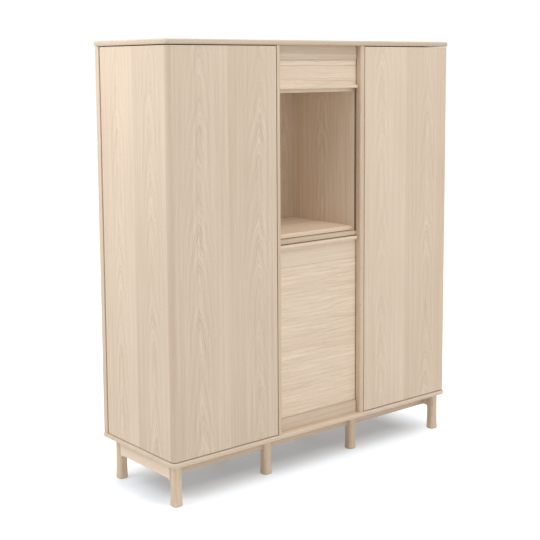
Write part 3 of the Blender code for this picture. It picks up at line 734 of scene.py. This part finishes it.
lower_first = slat_piece("lower_tambour_first_slat", lower_chain(0.0, SLAT_PITCH))
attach(lower_first, "lower_tambour")
lower_slats = slat_piece("lower_tambour_slats", lower_chain(SLAT_PITCH, SLAT_COUNT * SLAT_PITCH))
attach(lower_slats, "carcass")
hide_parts("lower_tambour_curtain")
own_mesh(lower_slats)

# The upper slats wait behind the top rail, pressed together, at heights worked out from the lead board's
# drop
drop = travel["upper_tambour_slide"]


def waiting_height(distance):
    """Height at rest of a point that a smoothstep over the lead board's drop would bring to its distance
    above the closed lead board.
    """
    low, high = 0.0, 1.0
    for _ in range(HALVINGS):
        t = (low + high) / 2
        closed = SPREAD_HIGH - (SPREAD_HIGH - SPREAD_LOW) * t - drop * t * t * (3 - 2 * t)
        if closed > UPPER_START - drop + distance:
            low = t
        else:
            high = t
    return SPREAD_HIGH - (SPREAD_HIGH - SPREAD_LOW) * t


upper_chain = []
for distance, deep in slat_steps(0.0, SPREAD_HIGH - UPPER_START + drop):
    height = UPPER_START + distance
    if distance > SPREAD_LOW - UPPER_START:
        height = waiting_height(distance)
    place = track(UPPER_START, TOP_BEND, 1.0, height - UPPER_START)[0]
    upper_chain.append(((place[0], height), (-1.0, 0.0), deep, distance))
upper_slats = slat_piece("upper_tambour_slats", upper_chain)
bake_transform(upper_slats)
run_steps = slat_steps(SPREAD_HIGH - UPPER_START + RUN_GAP, SLAT_COUNT * SLAT_PITCH)
upper_run = slat_piece("upper_tambour_return", track_chain(UPPER_START, TOP_BEND, 1.0, run_steps))
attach(upper_run, "carcass")
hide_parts("upper_tambour_curtain")


# Screws: cross-recessed heads in the back panels, latches and strike plates
def screw_heads(name, places, facing, radius, body):
    """One mesh of domed screw heads with a cross recess, each set on a place and facing one way."""
    bm = bmesh.new()
    arm = radius * CROSS_ARM
    half = radius * CROSS_HALF
    cross = [(arm, half), (half, half), (half, arm), (-half, arm), (-half, half), (-arm, half),
             (-arm, -half), (-half, -half), (-half, -arm), (half, -arm), (half, -half), (arm, -half)]
    angles = [2 * math.pi * i / HEAD_SIDES for i in range(HEAD_SIDES)]
    turn = Vector(facing).to_track_quat("Z", "Y").to_matrix()

    def add_loop(points, place):
        """Points of one level, turned to the head's direction and set on its place."""
        return [bm.verts.new(turn @ Vector(point) + Vector(place)) for point in points]

    for place in places:
        rings = []
        for share, rise in HEAD_RINGS:
            wide = share * radius
            points = [(wide * math.cos(a), wide * math.sin(a), rise * radius) for a in angles]
            rings.append(add_loop(points, place))
        recess = [add_loop([(x, y, level * radius) for x, y in cross], place) for level in CROSS_LEVELS]
        for low, high in (*zip(rings, rings[1:]), recess):
            for i in range(len(low)):
                j = (i + 1) % len(low)
                bm.faces.new((low[i], low[j], high[j], high[i]))
        edges = []
        for loop in (rings[-1], recess[0]):
            for i, vert in enumerate(loop):
                after = loop[(i + 1) % len(loop)]
                edges.append(bm.edges.get((vert, after)))
        bmesh.ops.triangle_fill(bm, edges=edges, use_beauty=True)
        bm.faces.new(recess[1])
    bmesh.ops.recalc_face_normals(bm, faces=bm.faces)
    mesh = bpy.data.meshes.new(name)
    bm.to_mesh(mesh)
    bm.free()
    mesh.materials.append(steel)
    obj = add_object(name, mesh)
    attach(obj, body)


panel_screws = []
for side in ("left", "right"):
    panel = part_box(side + "_back_panel")
    for i in (1, 2, 3):
        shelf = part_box(f"{side}_bay_shelf_{i}")
        height = (shelf[0].z + shelf[1].z) / 2
        for share in PANEL_SHARES:
            across = panel[0].x + (panel[1].x - panel[0].x) * share
            panel_screws.append((across, panel[1].y, height))
screw_heads("back_panel_screws", panel_screws, (0, 1, 0), PANEL_SCREW, "carcass")
for sign, side in ((-1, "left"), (1, "right")):
    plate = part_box(side + "_strike_plate")
    middle = (plate[0] + plate[1]) / 2
    spots = [(middle.x, plate[1].y, middle.z + rise) for rise in STRIKE_RISES]
    screw_heads(side + "_strike_screws", spots, (0, 1, 0), STRIKE_SCREW, side + "_door")
    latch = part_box(side + "_latch_body")
    outer = latch[0].x if sign < 0 else latch[1].x
    spots = [(outer, latch[0].y + depth, (latch[0].z + latch[1].z) / 2) for depth in LATCH_DEPTHS]
    screw_heads(side + "_latch_screws", spots, (sign, 0, 0), LATCH_SCREW, "carcass")


# Studio: a pale floor, a white surround and soft lamps
def seen_ray(tree):
    """1 for the rays that show the background: camera, glossy and transmission."""
    rays = tree.nodes.new("ShaderNodeLightPath").outputs
    seen = math_node(tree, "MAXIMUM", rays["Is Camera Ray"], rays["Is Glossy Ray"])
    return math_node(tree, "MAXIMUM", seen, rays["Is Transmission Ray"])


def floor_material():
    """A pale floor that glows white for seen rays, less in a footprint under the cabinet: a painted shadow
    there, over the real shadow, which a darker colour for seen rays deepens.
    """
    mat, tree, shader = new_material("pale_floor")
    seen = seen_ray(tree)
    tones = ramp(tree, seen, ((0.0, FLOOR_COLOUR), (1.0, SHADOW_COLOUR)))
    tree.links.new(tones, shader.inputs["Base Color"])
    shader.inputs["Roughness"].default_value = FLOOR_ROUGHNESS
    shader.inputs["Specular IOR Level"].default_value = 0.0
    shader.inputs["Emission Color"].default_value = WHITE
    place = object_place(tree)
    outside = []
    for direction, half in zip((WIDE, DEEP), FOOTPRINT):
        beyond = math_node(tree, "SUBTRACT", math_node(tree, "ABSOLUTE", dot(tree, place, direction)), half)
        outside.append(math_node(tree, "MAXIMUM", beyond, 0.0))
    length = vector_math(tree, "LENGTH", combine(tree, outside[0], outside[1], 0.0))
    spread = tree.nodes.new("ShaderNodeMapRange")
    tree.links.new(length.outputs["Value"], spread.inputs["Value"])
    spread.inputs["From Max"].default_value = GLOW_REACH
    spread.inputs["To Min"].default_value = FLOOR_GLOW
    spread.inputs["To Max"].default_value = WHITE_GLOW
    glow = math_node(tree, "MULTIPLY", seen, spread.outputs[0])
    tree.links.new(glow, shader.inputs["Emission Strength"])
    return mat


def make_floor():
    """The floor, with the middle of its glow, and so of the painted shadow, to the left of the cabinet's
    middle.
    """
    mesh = bpy.data.meshes.new("floor")
    bm = bmesh.new()
    bmesh.ops.create_grid(bm, x_segments=1, y_segments=1, size=FLOOR_HALF)
    bm.to_mesh(mesh)
    bm.free()
    floor = add_object("floor", mesh)
    floor.location.x = -SHADOW_LEFT
    mesh.materials.append(floor_material())


def make_world():
    """A white surround that lights the object less than it shows."""
    world = bpy.data.worlds.new("studio")
    bpy.context.scene.world = world
    world.use_nodes = True
    tree = world.node_tree
    background = tree.nodes["Background"]
    strength = weighted(tree, ((seen_ray(tree), 0.0, 1.0 - AMBIENT),), AMBIENT)
    tree.links.new(strength, background.inputs["Strength"])
    background.inputs["Color"].default_value = WHITE


def area_lamp(name, place, target, size, power):
    """A soft square lamp aimed at a point."""
    lamp = bpy.data.lights.new(name, "AREA")
    lamp.shape = "SQUARE"
    lamp.size = size
    lamp.energy = power
    obj = add_object(name, lamp)
    obj.location = place
    aim = Vector(target) - Vector(place)
    obj.rotation_euler = aim.to_track_quat("-Z", "Y").to_euler()


def make_camera():
    """The camera, from its place, yaw, pitch and roll."""
    lens = bpy.data.cameras.new("camera")
    lens.sensor_width = SENSOR_MM
    lens.lens = FOCAL_PX * SENSOR_MM / FRAME_PX
    lens.shift_y = (PRINCIPAL_Y_PX - FRAME_PX / 2) / FRAME_PX
    camera = add_object("camera", lens)
    level = Vector((math.cos(CAMERA_YAW), -math.sin(CAMERA_YAW), 0.0))
    forward = Vector((math.sin(CAMERA_YAW), math.cos(CAMERA_YAW), 0.0))
    ahead = forward * math.cos(CAMERA_PITCH) - Vector(UP) * math.sin(CAMERA_PITCH)
    down = ahead.cross(level)
    right = level * math.cos(CAMERA_ROLL) + down * math.sin(CAMERA_ROLL)
    down = down * math.cos(CAMERA_ROLL) - level * math.sin(CAMERA_ROLL)
    turn = Matrix((right, -down, -ahead)).transposed()
    camera.matrix_world = Matrix.Translation(CAMERA_AT) @ turn.to_4x4()
    bpy.context.scene.camera = camera


make_floor()
make_world()
area_lamp("side", (-2.3, 0.6, 2.2), (-0.7, 0.0, 1.3), 1.2, 27.0)
area_lamp("key", (-0.2, -1.8, 4.3), (0.0, 0.0, 1.0), 1.8, 48.0)
area_lamp("front", (1.4, -4.4, 1.6), (0.0, 0.0, 1.0), 2.8, 23.0)
area_lamp("fill", (-2.2, -4.3, 1.3), (0.0, 0.0, 1.0), 2.0, 17.0)
area_lamp("back", (2.6, 3.8, 2.2), (0.0, 0.0, 1.0), 2.5, 60.0)
area_lamp("top", (0.0, 0.0, 4.5), (0.0, 0.0, 0.0), 5.0, 40.0)
make_camera()
bpy.context.scene.view_settings.view_transform = "Standard"
